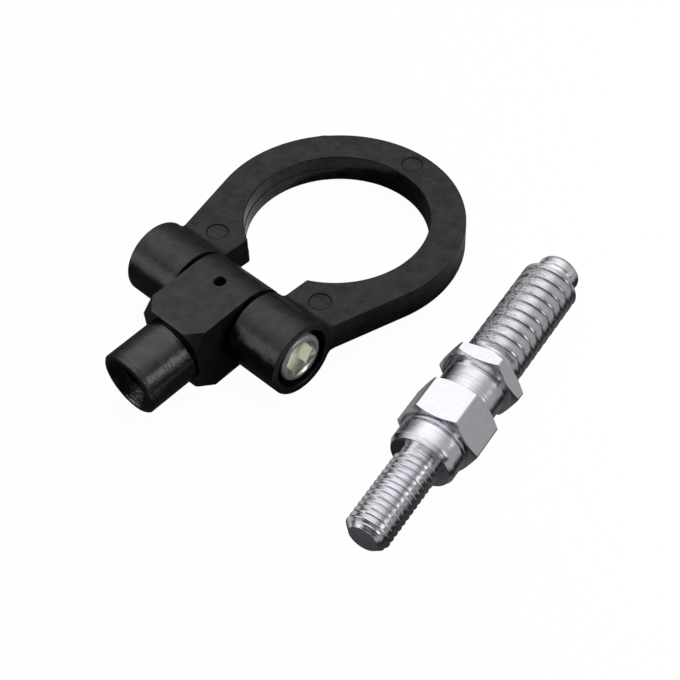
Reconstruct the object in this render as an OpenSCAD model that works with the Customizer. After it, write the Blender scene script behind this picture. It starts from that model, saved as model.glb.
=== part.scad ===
// Folding tow hook: a cast ring hinged on a threaded swivel block, and the
// threaded adapter stud that lies beside it. Millimetres, +Z up. The origin is
// the centre of the socket's mouth and +Y runs along the socket to the ring.

/* [Ring] */
// Diameter of the ring's opening
ring_bore_d = 51; // [44:0.5:60]
// Width of the flat band around the opening
ring_band_w = 10; // [8:0.5:16]
// Thickness of the ring's plate and arms
plate_t = 8.5; // [6:0.5:12]
// Distance from the hinge axis to the near edge of the opening
ring_offset = 16; // [15:0.5:24]
// Angle between each arm's outer side and the hook's centre line
arm_taper = 15.5; // [12:0.5:20]
// Step in the wall of the opening where the two mould halves met
mould_step = 0.15; // [0.1:0.05:0.5]
// Diameter of the three round ejector marks
mark_d = 6; // [4:0.5:7]
// Depth of the ejector marks
mark_depth = 0.2; // [0.1:0.1:0.4]

/* [Ears] */
// Diameter of the two round ears on the hinge axis
ear_d = 21; // [20:0.5:26]
// Length of each ear along the hinge axis
ear_l = 16.7; // [14:0.1:22]
// Radius of the hollow between an ear and the plate
ear_fillet_r = 3; // [1.5:0.5:5]
// Diameter of the counterbore for the bolt's head
counterbore_d = 17; // [14:0.5:18]

/* [Block] */
// Width of the block along the hinge axis
block_w = 20; // [18:0.5:26]
// Height of the block
block_h = 21; // [20:0.5:24]
// Distance from the hinge axis to the block's front face
block_front = 19.4; // [17:0.1:24]
// Gap between the block and each ear
side_gap = 1.4; // [0.5:0.1:2.5]
// Diameter of the circle where the front face meets its turned cone
front_turn_d = 24.2; // [22:0.2:25]
// Angle between that cone and the socket's axis
front_cone_angle = 30; // [20:1:60]
// Diameter of the small hole in the block's top
oil_hole_d = 3.3; // [2:0.1:5]
// Distance from the hinge axis to the small hole, towards the socket
oil_hole_offset = 0.8; // [0:0.1:2]

/* [Socket] */
// Length of the socket tube in front of the block
tube_l = 15.6; // [13.5:0.1:24]
// Outside diameter of the socket tube
tube_d = 18.4; // [16:0.1:20]
// Depth of the thread, from the mouth
socket_depth = 24; // [23:0.5:26]
// Width of the chamfer that leads into the thread at the mouth
mouth_chamfer = 1; // [0.3:0.1:1.5]
// Width of the groove between the tube and the block
undercut_w = 1; // [0.6:0.1:1.6]
// Depth of that groove
undercut_depth = 0.6; // [0.3:0.1:1]
// Chamfer on the tube's outer edges
tube_chamfer = 0.4; // [0.2:0.1:1]

/* [Joining thread] */
// Outside diameter of the thread between the socket and the stud
thread_d = 12; // [10:0.5:12]
// Pitch of that thread
thread_pitch = 1.75; // [1.25:0.25:2]
// Gap on the radius between the stud's thread and the socket's
thread_gap = 0.08; // [0.02:0.01:0.15]

/* [Pivot bolt] */
// Shank and thread diameter of the bolt
bolt_d = 8; // [6:0.5:9]
// Diameter of the bolt's head
bolt_head_d = 13.4; // [12:0.1:13.5]
// Height of the bolt's head
bolt_head_h = 8; // [6:0.5:9]
// Width across flats of the hexagonal socket in the head
bolt_hex_af = 8; // [6:0.5:8.5]
// Depth of the hexagonal socket
bolt_hex_depth = 4.5; // [3:0.5:5]
// How far the head stands below the ear's end
bolt_head_drop = 0.4; // [0.2:0.1:2]
// How far the bolt's tip stands inside the other ear
bolt_tip_drop = 1.5; // [0.5:0.5:4]
// Running clearance on the radius between the bolt and the block
bolt_gap = 0.08; // [0.03:0.01:0.1]
// Clearance on the radius between the bolt and the ear under its head
ear_hole_gap = 0.2; // [0.1:0.05:0.5]

/* [Stud] */
// Width across flats of the hexagon bar that the stud is turned from
hex_af = 20; // [19:0.25:22]
// Length of the fine thread, with its end chamfer
fine_l = 23; // [16:0.5:24]
// Diameter of the flat end of the fine thread
fine_end_d = 8.2; // [7:0.1:9]
// Length of the relief between the fine thread and the collar
relief_l = 2.4; // [1:0.1:4]
// Diameter of the round collar
collar_d = 18; // [16:0.1:19]
// Length of the round collar
collar_l = 7.4; // [4:0.1:12]
// Height of the chamfer on the collar's near edge
collar_chamfer = 0.7; // [0.2:0.1:1.5]
// Length of that chamfer
collar_chamfer_l = 1.4; // [0.4:0.1:2]
// Length of the wrench hexagon
wrench_l = 11.4; // [8:0.1:16]
// Diameter of the turned neck
neck_d = 16.7; // [14:0.1:18]
// Length of the turned neck
neck_l = 8.8; // [4:0.1:12]
// Thickness of the thin hexagon flange
flange_t = 4; // [3.2:0.1:6]
// Slope of the chamfers on the hexagons' corners
hex_chamfer_angle = 30; // [20:1:35]
// Diameter of the step behind the flange
shoulder_d = 16.1; // [14:0.1:18]
// Length of that step
shoulder_l = 1.9; // [1:0.1:4]
// Diameter of the groove between the step and the coarse thread
runout_d = 14; // [12:0.1:15]
// Length of that groove
runout_l = 1.7; // [1:0.1:3]

/* [Coarse thread] */
// Outside diameter of the coarse thread
coarse_d = 15.7; // [13:0.1:17]
// Diameter at the bottom of the coarse thread's grooves
coarse_root_d = 13; // [11:0.1:14]
// Pitch of the coarse thread
coarse_pitch = 3.1; // [2.5:0.1:4]
// Number of grooves in the coarse thread
coarse_grooves = 10; // [6:1:12]
// Diameter of the neck behind the pilot
pilot_neck_d = 10.6; // [9:0.1:11]
// Length of the neck behind the pilot
pilot_neck_l = 1.6; // [1:0.1:3]
// Diameter of the smooth pilot tip
pilot_d = 11.5; // [11:0.1:12.5]
// Length of the smooth pilot tip
pilot_l = 3.5; // [2:0.1:8]
// Radius of the pilot's rounded edge
pilot_round = 1; // [0.4:0.1:1.5]

/* [Placing] */
// Distance of the stud's near end to the right of the socket's axis
stud_x = 77; // [70:0.5:120]
// Distance of the stud's near end behind the socket's mouth
stud_y = 6; // [0:0.5:30]
// Angle that the stud is turned towards the ring
stud_heading = 11; // [0:0.5:14]

/* [Hidden] */
$fn = 96;
eps = 0.02;
black = [0.07, 0.07, 0.075];
zinc = [0.78, 0.79, 0.8];
// Places of the hinge axis and of the ring's centre along Y
hinge_y = tube_l + block_front;
ring_centre = ring_offset + ring_bore_d / 2;
ring_outer_r = ring_bore_d / 2 + ring_band_w;
// Places along the hinge axis
ear_in = block_w / 2 + side_gap;
ear_out = ear_in + ear_l;
ear_r = ear_d / 2;
block_corner_r = norm([block_w / 2, block_h / 2]);
// The hook lies on its ears, on the block and on the ring's far lower edge
rest_drop = max(block_h, ear_d) / 2;
ring_far = ring_centre + ring_outer_r;
lie_angle = asin(rest_drop / norm([ring_far, plate_t / 2])) - atan2(plate_t / 2, ring_far);
// Thread proportions, as shares of the pitch
groove_depth_share = 0.6134;
internal_depth_share = 0.5413;
crest_share = 0.125;
root_share = 0.25;
coarse_crest_share = 0.64;
coarse_root_share = 0.12;
// Length of the slopes at the ends of the coarse thread
coarse_lead = 0.2;
pilot_step = 0.3;
// How far the turned cones run past the corners that they cut
cone_margin = 0.2;
// How far the hexagons' end faces stop short of their flats
face_margin = 0.1;
stud_root_r = thread_d / 2 - groove_depth_share * thread_pitch - thread_gap;
socket_r = thread_d / 2 - internal_depth_share * thread_pitch;
// Stations along the stud, from its near end
hex_corner_r = hex_af / sqrt(3);
fine_chamfer = thread_d / 2 - thread_gap - fine_end_d / 2;
collar_at = fine_l + relief_l;
wrench_at = collar_at + collar_l;
neck_at = wrench_at + wrench_l;
flange_at = neck_at + neck_l;
shoulder_at = flange_at + flange_t;
runout_at = shoulder_at + shoulder_l;
coarse_at = runout_at + runout_l;
coarse_end = coarse_at + coarse_grooves * coarse_pitch;
pilot_neck_at = coarse_end + pilot_step;
pilot_at = pilot_neck_at + pilot_neck_l;
stud_l = pilot_at + pilot_l;

// A bar along X from x0 to x1
module bar_x(r, x0, x1) {
    translate([x0, 0, 0]) rotate([0, 90, 0]) cylinder(r = r, h = x1 - x0);
}

// A profile of [radius, station] points turned about the Y axis
module turned_y(profile) {
    rotate([-90, 0, 0]) rotate_extrude() polygon(profile);
}

// One groove of a thread: radius and station of its four corners
function groove(top_r, root_r, pitch, crest, root, at) =
    let (flank = (pitch * (1 - crest) - pitch * root) / 2)
    [[top_r, at], [root_r, at + flank], [root_r, at + flank + pitch * root], [top_r, at + pitch * (1 - crest)]];

// The ring's plan outline: two arms whose outer sides just meet the ring,
// and the slot between them for the block
module ring_plan() {
    touch = [ring_outer_r * cos(arm_taper), ring_centre - ring_outer_r * sin(arm_taper)];
    arm_y = touch[1] - (touch[0] - ear_out) / tan(arm_taper);
    difference() {
        union() {
            translate([0, ring_centre]) circle(r = ring_outer_r, $fn = 192);
            polygon([[-ear_out, -ear_r], [ear_out, -ear_r], [ear_out, arm_y],
                     touch, [-touch[0], touch[1]], [-ear_out, arm_y]]);
        }
        translate([0, ring_centre]) circle(r = ring_bore_d / 2, $fn = 192);
        translate([-ear_in, -ear_r - 1]) square([2 * ear_in, ring_centre + ear_r + 1]);
    }
}

// Side view of the ring: round ears that run into the plate with hollows
module ring_side() {
    hollow = [sqrt(pow(ear_r + ear_fillet_r, 2) - pow(plate_t / 2 + ear_fillet_r, 2)), plate_t / 2 + ear_fillet_r];
    ear_touch = hollow * ear_r / (ear_r + ear_fillet_r);
    circle(r = ear_r);
    difference() {
        polygon([[0, -ear_touch[1]], [ear_touch[0], -ear_touch[1]], [hollow[0], -hollow[1]],
                 [hollow[0], -plate_t / 2], [ring_far + 1, -plate_t / 2], [ring_far + 1, plate_t / 2],
                 [hollow[0], plate_t / 2], hollow, ear_touch, [0, ear_touch[1]]]);
        for (s = [-1, 1]) translate([hollow[0], s * hollow[1]]) circle(r = ear_fillet_r);
    }
}

// Round marks left by the mould's ejector pins, on the ring's top face
module ejector_marks() {
    arm_mark = [(ear_in + ear_out) / 2, ring_offset - 1];
    for (at = [[arm_mark[0], arm_mark[1]], [-arm_mark[0], arm_mark[1]], [0, ring_far - ring_band_w / 2]]) {
        translate([at[0], at[1], plate_t / 2 - mark_depth]) cylinder(d = mark_d, h = mark_depth + 1);
    }
}

// Ring, arms and ears in one casting, drawn level about the hinge axis
module ring_casting() {
    difference() {
        intersection() {
            translate([0, 0, -ear_r]) linear_extrude(height = ear_d) ring_plan();
            translate([-ring_far, 0, 0]) rotate([90, 0, 90]) linear_extrude(height = 2 * ring_far) ring_side();
        }
        translate([0, ring_centre, 0]) cylinder(r = ring_bore_d / 2 + mould_step, h = plate_t, $fn = 192);
        ejector_marks();
        bar_x(bolt_d / 2, -ear_out - 1, 0);
        bar_x(bolt_d / 2 + ear_hole_gap, 0, ear_out);
        bar_x(counterbore_d / 2, ear_out - bolt_head_h - bolt_head_drop, ear_out + 1);
    }
}

module tow_ring() {
    color(black) translate([0, hinge_y, 0]) rotate([-lie_angle, 0, 0]) ring_casting();
}

// Socket head cap screw through the right ear and the block into the left ear
module pivot_bolt() {
    head_x = ear_out - bolt_head_drop;
    head_chamfer = 0.5;
    color(zinc) translate([0, hinge_y, 0]) rotate([-lie_angle, 0, 0]) difference() {
        union() {
            bar_x(bolt_d / 2, -ear_out + bolt_tip_drop, head_x - bolt_head_h + eps);
            translate([head_x, 0, 0]) rotate([0, -90, 0]) rotate_extrude()
                polygon([[0, 0], [bolt_head_d / 2 - head_chamfer, 0], [bolt_head_d / 2, head_chamfer],
                         [bolt_head_d / 2, bolt_head_h], [0, bolt_head_h]]);
        }
        translate([head_x - bolt_hex_depth, 0, 0]) rotate([0, 90, 0])
            cylinder(d = bolt_hex_af / cos(30), h = bolt_hex_depth + 1, $fn = 6);
    }
}

// Bar block, rounded about the hinge axis behind and cone-turned in front,
// with the threaded socket tube turned from the same bar
module block_bar() {
    reach = block_front + 1;
    cone_r = block_corner_r + cone_margin;
    cone_l = (cone_r - front_turn_d / 2) / tan(front_cone_angle);
    intersection() {
        union() {
            bar_x(block_h / 2, -block_w / 2, block_w / 2);
            translate([-block_w / 2, -reach, -block_h / 2]) cube([block_w, reach, block_h]);
        }
        translate([0, -block_front, 0])
            turned_y([[0, 0], [front_turn_d / 2, 0], [cone_r, cone_l],
                      [cone_r, 2 * block_front], [0, 2 * block_front]]);
    }
}

// Outside of the socket tube, with the groove next to the block
module tube_body() {
    r = tube_d / 2;
    turned_y([[0, 0], [r - tube_chamfer, 0], [r, tube_chamfer], [r, tube_l - undercut_w - tube_chamfer],
              [r - tube_chamfer, tube_l - undercut_w], [r - undercut_depth, tube_l - undercut_w],
              [r - undercut_depth, tube_l + 1], [0, tube_l + 1]]);
}

// Threaded hole of the socket, with its mouth chamfer and drill point
module socket_hole() {
    crest_r = thread_d / 2;
    mouth_r = crest_r + mouth_chamfer;
    first = mouth_r - socket_r + root_share * thread_pitch;
    turns = floor((socket_depth - first) / thread_pitch) - 2;
    ridges = [for (i = [0:turns - 1])
              each groove(socket_r, crest_r, thread_pitch, root_share, crest_share, first + thread_pitch * i)];
    turned_y(concat([[0, -1], [mouth_r, -1], [mouth_r, 0], [socket_r, mouth_r - socket_r]], ridges,
                    [[socket_r, socket_depth], [0, socket_depth + socket_r * tan(31)]]));
}

module swivel_block() {
    color(black) difference() {
        union() {
            translate([0, hinge_y, 0]) block_bar();
            tube_body();
        }
        socket_hole();
        translate([0, hinge_y, 0]) bar_x(bolt_d / 2 + bolt_gap, -block_w, block_w);
        translate([0, hinge_y - oil_hole_offset, 0]) cylinder(d = oil_hole_d, h = block_h);
    }
}

// A length of the hexagon bar with both ends chamfered
module hex_length(at, l) {
    face_r = hex_af / 2 - face_margin;
    cone_r = hex_corner_r + cone_margin;
    rise = (cone_r - face_r) * tan(hex_chamfer_angle);
    intersection() {
        translate([0, at, 0]) rotate([-90, 0, 0]) cylinder(r = hex_corner_r, h = l, $fn = 6);
        translate([0, at, 0])
            turned_y([[0, 0], [face_r, 0], [cone_r, rise], [cone_r, l - rise], [face_r, l], [0, l]]);
    }
}

// Everything on the stud that is round, from its near end to its pilot
module stud_turning() {
    fine_r = thread_d / 2 - thread_gap;
    fine_turns = floor((fine_l - fine_chamfer) / thread_pitch) - 1;
    fine_grooves = [for (i = [0:fine_turns])
                    each groove(fine_r, stud_root_r, thread_pitch, crest_share, root_share,
                                fine_chamfer + thread_pitch * (i + crest_share))];
    fine_end = fine_chamfer + thread_pitch * (fine_turns + 1 + crest_share);
    relief_r = stud_root_r + 0.25;
    coarse_r = coarse_d / 2;
    coarse_lines = [for (i = [0:coarse_grooves - 1])
                    each groove(coarse_r, coarse_root_d / 2, coarse_pitch, coarse_crest_share, coarse_root_share,
                                coarse_at + coarse_pitch * i)];
    pilot_curve = [for (a = [0:15:90])
                   [pilot_d / 2 - pilot_round + pilot_round * cos(a), stud_l - pilot_round + pilot_round * sin(a)]];
    turned_y(concat(
        [[0, 0], [fine_end_d / 2, 0], [fine_r, fine_chamfer]], fine_grooves,
        [[fine_r, fine_end], [relief_r, fine_end + 0.6], [relief_r, collar_at],
         [collar_d / 2 - collar_chamfer, collar_at], [collar_d / 2, collar_at + collar_chamfer_l],
         [collar_d / 2, wrench_at + eps], [neck_d / 2, wrench_at + eps], [neck_d / 2, shoulder_at - eps],
         [shoulder_d / 2, shoulder_at - eps], [shoulder_d / 2, runout_at],
         [runout_d / 2, runout_at], [runout_d / 2, coarse_at - 2 * coarse_lead],
         [coarse_r, coarse_at - coarse_lead]],
        coarse_lines,
        [[coarse_r, coarse_end], [pilot_neck_d / 2, pilot_neck_at], [pilot_neck_d / 2, pilot_at],
         [pilot_d / 2, pilot_at + pilot_step]],
        pilot_curve, [[0, stud_l]]));
}

module adapter_stud() {
    color(zinc) translate([stud_x, stud_y, hex_af / 2 - rest_drop]) rotate([0, 0, stud_heading]) {
        stud_turning();
        hex_length(wrench_at, wrench_l);
        hex_length(flange_at, flange_t);
    }
}

tow_ring();
pivot_bolt();
swivel_block();
adapter_stud();
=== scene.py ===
"""Folding tow hook and its adapter stud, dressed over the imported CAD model.

Each piece is built in millimetres about its own axis and then placed in the
frame, in metres. The sizes are those of the CAD part.
"""

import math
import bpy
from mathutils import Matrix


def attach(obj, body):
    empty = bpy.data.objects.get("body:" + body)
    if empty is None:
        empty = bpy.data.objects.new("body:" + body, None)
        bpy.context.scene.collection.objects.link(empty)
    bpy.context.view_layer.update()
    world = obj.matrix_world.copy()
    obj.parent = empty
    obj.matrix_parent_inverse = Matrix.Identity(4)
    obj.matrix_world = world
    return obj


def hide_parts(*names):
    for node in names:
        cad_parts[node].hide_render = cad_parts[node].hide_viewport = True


bl_info = {
    "name": "Folding Tow Hook",
    "version": (1, 0, 0),
    "blender": (4, 5, 0),
    "location": "View3D > Sidebar > Tow Hook",
    "description": "Builds a folding tow hook with its threaded adapter stud",
    "category": "Add Mesh",
}

import bmesh
import bpy
from bpy.props import FloatProperty, FloatVectorProperty, PointerProperty
from mathutils import Matrix, Vector

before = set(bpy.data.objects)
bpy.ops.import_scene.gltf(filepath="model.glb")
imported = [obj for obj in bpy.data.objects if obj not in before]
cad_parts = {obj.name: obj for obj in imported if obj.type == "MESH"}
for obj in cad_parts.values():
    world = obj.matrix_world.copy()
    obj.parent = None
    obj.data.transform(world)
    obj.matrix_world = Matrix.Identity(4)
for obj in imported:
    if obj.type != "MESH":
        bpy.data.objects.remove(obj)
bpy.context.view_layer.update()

# Frame units per millimetre
MM = 0.001
# Steps round a turned piece, and round each turn of a thread
ROUND_STEPS = 96
THREAD_STEPS = 64
# Faces that meet at a greater angle keep a crisp edge
CRISP_ANGLE = math.radians(23)
CAST_CRISP_ANGLE = math.radians(34)
# Corner points closer than this, in millimetres, are one point
JOIN_DISTANCE = 0.0005

# Placing of the pieces, from the CAD part, in millimetres
HINGE = Vector((0, 35, 0))
STUD_END = Vector((77, 6, -0.5))
STUD_HEADING = math.radians(11)
GROUND = -10.5


# ---- Sizes and finishes that a user would change ----


class RingSizes(bpy.types.PropertyGroup):
    """Cast ring: how worn and rounded its edges are"""

    edge: FloatProperty(name="Edge radius", description="Rounding of the casting's edges, in millimetres",
                        default=0.4, min=0.2, max=1.2)
    end_edge: FloatProperty(name="Ear edge", description="Rounding of the machined ends of the ears, in millimetres",
                            default=0.22, min=0.05, max=0.5)
    bore_edge: FloatProperty(name="Drilled edge", description="Chamfer on the drilled holes, in millimetres",
                             default=0.25, min=0.05, max=0.5)
    mark_depth: FloatProperty(name="Mark depth", description="Depth of the line round an ejector mark, in millimetres",
                              default=0.45, min=0.25, max=0.6)
    colour: FloatVectorProperty(name="Coat colour", description="Colour of the black coat",
                                subtype="COLOR", size=3, default=(0.005, 0.005, 0.0055), min=0, max=1)
    roughness: FloatProperty(name="Coat roughness", description="Roughness of the satin coat",
                             default=0.27, min=0.1, max=1)


class BlockSizes(bpy.types.PropertyGroup):
    """Swivel block with its socket tube"""

    width: FloatProperty(name="Width", description="Width along the hinge, in millimetres", default=20, min=18, max=26)
    height: FloatProperty(name="Height", description="Height of the bar, in millimetres", default=21, min=20, max=24)
    front: FloatProperty(name="Front", description="Hinge axis to front face, in millimetres",
                         default=19.4, min=17, max=24)
    turn_diameter: FloatProperty(name="Cone diameter", description="Where the front face meets its cone, in millimetres",
                                 default=24.2, min=22, max=25)
    tube_diameter: FloatProperty(name="Tube diameter", description="Outside of the socket tube, in millimetres",
                                 default=18.4, min=16, max=20)
    edge: FloatProperty(name="Broken edge", description="Chamfer on the bar's long edges, in millimetres",
                        default=0.3, min=0.05, max=0.6)
    colour: FloatVectorProperty(name="Coat colour", description="Colour of the black coat",
                                subtype="COLOR", size=3, default=(0.005, 0.005, 0.0055), min=0, max=1)
    roughness: FloatProperty(name="Coat roughness", description="Roughness of the coat on turned steel",
                             default=0.32, min=0.1, max=1)


class BoltSizes(bpy.types.PropertyGroup):
    """Socket head cap screw on the hinge axis"""

    shank: FloatProperty(name="Shank", description="Shank diameter, in millimetres", default=8, min=6, max=9)
    head: FloatProperty(name="Head", description="Head diameter, in millimetres", default=13.4, min=12, max=14)
    key: FloatProperty(name="Key size", description="Width across the socket's flats, in millimetres",
                       default=8, min=6, max=8.5)
    key_depth: FloatProperty(name="Key depth", description="Depth of the hexagonal socket, in millimetres",
                             default=4.5, min=3, max=5)
    colour: FloatVectorProperty(name="Plating colour", description="Colour of the bolt's milky plating",
                                subtype="COLOR", size=3, default=(0.30, 0.33, 0.33), min=0, max=1)
    # The pale, yellowish recess colour is painted light falling into the key's socket.
    recess: FloatVectorProperty(name="Recess colour", description="Paler, yellower plating inside the key's socket",
                                subtype="COLOR", size=3, default=(0.92, 0.92, 0.83), min=0, max=1)


class StudSizes(bpy.types.PropertyGroup):
    """Adapter stud turned from hexagon bar"""

    across_flats: FloatProperty(name="Hexagon", description="Width across flats, in millimetres",
                                default=20, min=19, max=22)
    corner: FloatProperty(name="Corner radius", description="Rounding of the bar's corners, in millimetres",
                          default=0.5, min=0.2, max=2)
    colour: FloatVectorProperty(name="Plating colour", description="Colour of the bright plating",
                                subtype="COLOR", size=3, default=(0.79, 0.785, 0.83), min=0, max=1)
    end_colour: FloatVectorProperty(name="End colour", description="Colour of the dull faced end",
                                    subtype="COLOR", size=3, default=(0.42, 0.42, 0.48), min=0, max=1)
    roughness: FloatProperty(name="Plating roughness", description="Roughness of the bright plating",
                             default=0.11, min=0.02, max=0.6)


class StageSizes(bpy.types.PropertyGroup):
    """Floor, lights and camera"""

    lens: FloatProperty(name="Lens", description="Focal length on a 36 mm sensor", default=84.96, min=20, max=200)
    key_power: FloatProperty(name="Key light", description="Power of the overhead soft light", subtype="POWER",
                             default=3.8, min=0, max=200)
    fill_power: FloatProperty(name="Fill light", description="Power of the side light", subtype="POWER",
                              default=2.0, min=0, max=200)


# ---- Mesh helpers ----


def polyline(points):
    """A bmesh with one open line through (radius, station) points, in the XY plane."""
    bm = bmesh.new()
    verts = [bm.verts.new((radius, station, 0)) for radius, station in points]
    for first, second in zip(verts, verts[1:]):
        bm.edges.new((first, second))
    return bm


def tidy(bm):
    """Joins doubled points and turns all faces outwards."""
    bmesh.ops.remove_doubles(bm, verts=bm.verts, dist=JOIN_DISTANCE)
    bmesh.ops.dissolve_degenerate(bm, dist=JOIN_DISTANCE, edges=bm.edges)
    bmesh.ops.recalc_face_normals(bm, faces=bm.faces)
    return bm


def rounded(bm, corner):
    """Rounds the corners of an open line, in two steps each."""
    if corner:
        inner = [v for v in bm.verts if len(v.link_edges) == 2]
        bmesh.ops.bevel(bm, geom=inner, offset=corner, offset_type="OFFSET", segments=2, profile=0.5,
                        affect="VERTICES", material=-1, clamp_overlap=True)


def turned(points, corner=0.0, steps=ROUND_STEPS):
    """A solid turned about the Y axis from a line that starts and ends on it."""
    bm = polyline(points)
    rounded(bm, corner)
    bmesh.ops.spin(bm, geom=bm.verts[:] + bm.edges[:], cent=(0, 0, 0), axis=(0, 1, 0), dvec=(0, 0, 0),
                   angle=2 * math.pi, steps=steps, use_merge=True)
    return tidy(bm)


def threaded(section, pitch, start, end, corner=0.0):
    """A solid rod with a right-hand thread about Y, cut square at both ends.

    The section is one turn's outline, as (radius, share of the pitch) points from crest to crest.
    """
    turns = math.ceil((end - start) / pitch) + 3
    bm = polyline([(radius, start - 2 * pitch + pitch * share) for radius, share in section])
    rounded(bm, corner)
    bmesh.ops.spin(bm, geom=bm.verts[:] + bm.edges[:], cent=(0, 0, 0), axis=(0, 1, 0),
                   dvec=(0, pitch / THREAD_STEPS, 0), angle=2 * math.pi * turns, steps=THREAD_STEPS * turns,
                   use_merge=False)
    bmesh.ops.remove_doubles(bm, verts=bm.verts, dist=JOIN_DISTANCE)
    for station, side in ((start, -1), (end, 1)):
        bmesh.ops.bisect_plane(bm, geom=bm.verts[:] + bm.edges[:] + bm.faces[:], dist=1e-5,
                               plane_co=(0, station, 0), plane_no=(0, side, 0), clear_outer=True)
        rim = [e for e in bm.edges if e.is_boundary and all(abs(v.co.y - station) < 1e-3 for v in e.verts)]
        bmesh.ops.contextual_create(bm, geom=rim)
    return tidy(bm)


def vee_section(crest, root, crest_share, root_share):
    """One turn of a thread with straight flanks, from the middle of a crest to the next."""
    crest_edge = crest_share / 2
    root_edge = 0.5 - root_share / 2
    return [(crest, 0), (crest, crest_edge), (root, root_edge), (root, 1 - root_edge), (crest, 1 - crest_edge),
            (crest, 1)]


def ring_cutter(inner, outer, start, end):
    """A square-sectioned ring about the Y axis, to cut a round groove with."""
    bm = polyline([(inner, start), (outer, start), (outer, end), (inner, end), (inner, start)])
    bmesh.ops.remove_doubles(bm, verts=bm.verts, dist=JOIN_DISTANCE)
    bmesh.ops.spin(bm, geom=bm.verts[:] + bm.edges[:], cent=(0, 0, 0), axis=(0, 1, 0), dvec=(0, 0, 0),
                   angle=2 * math.pi, steps=ROUND_STEPS // 2, use_merge=True)
    return tidy(bm)


def bar(segments, across, start, end, corner=0.0):
    """A bar with that many sides about the Y axis, with a corner on the X axis."""
    bm = bmesh.new()
    radius = across / 2 / math.cos(math.pi / segments)
    bmesh.ops.create_cone(bm, cap_ends=True, cap_tris=False, segments=segments, radius1=radius, radius2=radius,
                          depth=end - start)
    turn = Matrix.Rotation(-math.pi / 2, 4, "X")
    bmesh.ops.transform(bm, matrix=Matrix.Translation((0, (start + end) / 2, 0)) @ turn, verts=bm.verts)
    first = max(bm.verts, key=lambda v: v.co.x)
    bmesh.ops.rotate(bm, verts=bm.verts, cent=(0, 0, 0),
                     matrix=Matrix.Rotation(math.atan2(first.co.z, first.co.x), 3, "Y"))
    if corner:
        long_edges = [e for e in bm.edges if abs(e.verts[0].co.y - e.verts[1].co.y) > 1]
        bmesh.ops.bevel(bm, geom=long_edges, offset=corner, offset_type="OFFSET", segments=4, profile=0.5,
                        affect="EDGES", material=-1, clamp_overlap=True)
    return tidy(bm)


def along_x(bm):
    """Turns a piece made about Y so that its axis is X, with its stations growing along +X."""
    bmesh.ops.rotate(bm, verts=bm.verts, cent=(0, 0, 0), matrix=Matrix.Rotation(-math.pi / 2, 3, "Z"))
    return bm


def upright(bm):
    """Turns a piece made about Y so that its axis is Z, with its stations growing upwards."""
    bmesh.ops.rotate(bm, verts=bm.verts, cent=(0, 0, 0), matrix=Matrix.Rotation(math.pi / 2, 3, "X"))
    return bm


def moved(bm, offset):
    """Moves a piece by an offset in millimetres."""
    bmesh.ops.translate(bm, verts=bm.verts, vec=offset)
    return bm


def scratch_object(bm):
    """A passing object that carries a bmesh through a boolean step."""
    mesh = bpy.data.meshes.new("scratch")
    bm.to_mesh(mesh)
    bm.free()
    made = bpy.data.objects.new("scratch", mesh)
    bpy.context.scene.collection.objects.link(made)
    return made


def combined(bm, *steps):
    """Carries out (operation, other piece) steps one after another, exactly."""
    base = scratch_object(bm)
    tools = []
    for operation, other in steps:
        tools.append(scratch_object(other))
        step = base.modifiers.new("step", "BOOLEAN")
        step.operation = operation
        step.solver = "EXACT"
        step.object = tools[-1]
    result = bmesh.new()
    result.from_object(base, bpy.context.evaluated_depsgraph_get())
    for passing in [base] + tools:
        mesh = passing.data
        bpy.data.objects.remove(passing)
        bpy.data.meshes.remove(mesh)
    if not result.faces:
        raise RuntimeError("a boolean step left nothing")
    bmesh.ops.remove_doubles(result, verts=result.verts, dist=JOIN_DISTANCE)
    bmesh.ops.dissolve_degenerate(result, dist=JOIN_DISTANCE, edges=result.edges)
    return result


def softened(bm, width, chosen, segments=3):
    """Bevels the crisp edges that chosen(middle, edge) picks."""
    edges = [e for e in bm.edges if len(e.link_faces) == 2 and e.calc_face_angle(0) > math.radians(22)
             and chosen((e.verts[0].co + e.verts[1].co) / 2, e)]
    if edges:
        bmesh.ops.bevel(bm, geom=edges, offset=width, offset_type="OFFSET", segments=segments, profile=0.5,
                        affect="EDGES", material=-1, clamp_overlap=False)
    return len(edges)


def finished(bm, name, place, materials, node, body, crisp=CRISP_ANGLE):
    bmesh.ops.transform(bm, matrix=Matrix.Scale(MM, 4) @ place, verts=bm.verts)
    for face in bm.faces:
        face.smooth = True
    mesh = bpy.data.meshes.new(name)
    bm.to_mesh(mesh)
    bm.free()
    for material in materials:
        mesh.materials.append(material)
    mesh.set_sharp_from_angle(angle=crisp)
    piece = bpy.data.objects.new(name, mesh)
    bpy.context.scene.collection.objects.link(piece)
    normals = piece.modifiers.new("Even shading", "WEIGHTED_NORMAL")
    normals.keep_sharp = True
    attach(piece, body)
    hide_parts(node)
    return piece


def lie_angle():
    """How far the ring's far end dips for its lower edge to reach the ground."""
    far = Vector((77.0, 4.25))
    return math.asin(-GROUND / far.length) - math.atan2(far.y, far.x)


def hinge_place():
    """Placing of the ring and the bolt: level about the hinge, then dipped."""
    return Matrix.Translation(HINGE) @ Matrix.Rotation(-lie_angle(), 4, "X")


def stud_place():
    """Placing of the stud: its near end, and the way it points."""
    return Matrix.Translation(STUD_END) @ Matrix.Rotation(STUD_HEADING, 4, "Z")


def cad_copy(node, place):
    """A joined copy of a CAD node's mesh, in millimetres about its own axes."""
    bm = bmesh.new()
    bm.from_mesh(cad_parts[node].data)
    bmesh.ops.transform(bm, matrix=place.inverted() @ Matrix.Scale(1 / MM, 4), verts=bm.verts)
    bmesh.ops.remove_doubles(bm, verts=bm.verts, dist=0.002)
    bmesh.ops.dissolve_limit(bm, angle_limit=math.radians(0.6), use_dissolve_boundaries=False,
                             verts=bm.verts, edges=bm.edges, delimit=set())
    return bm


# ---- Materials ----


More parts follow.
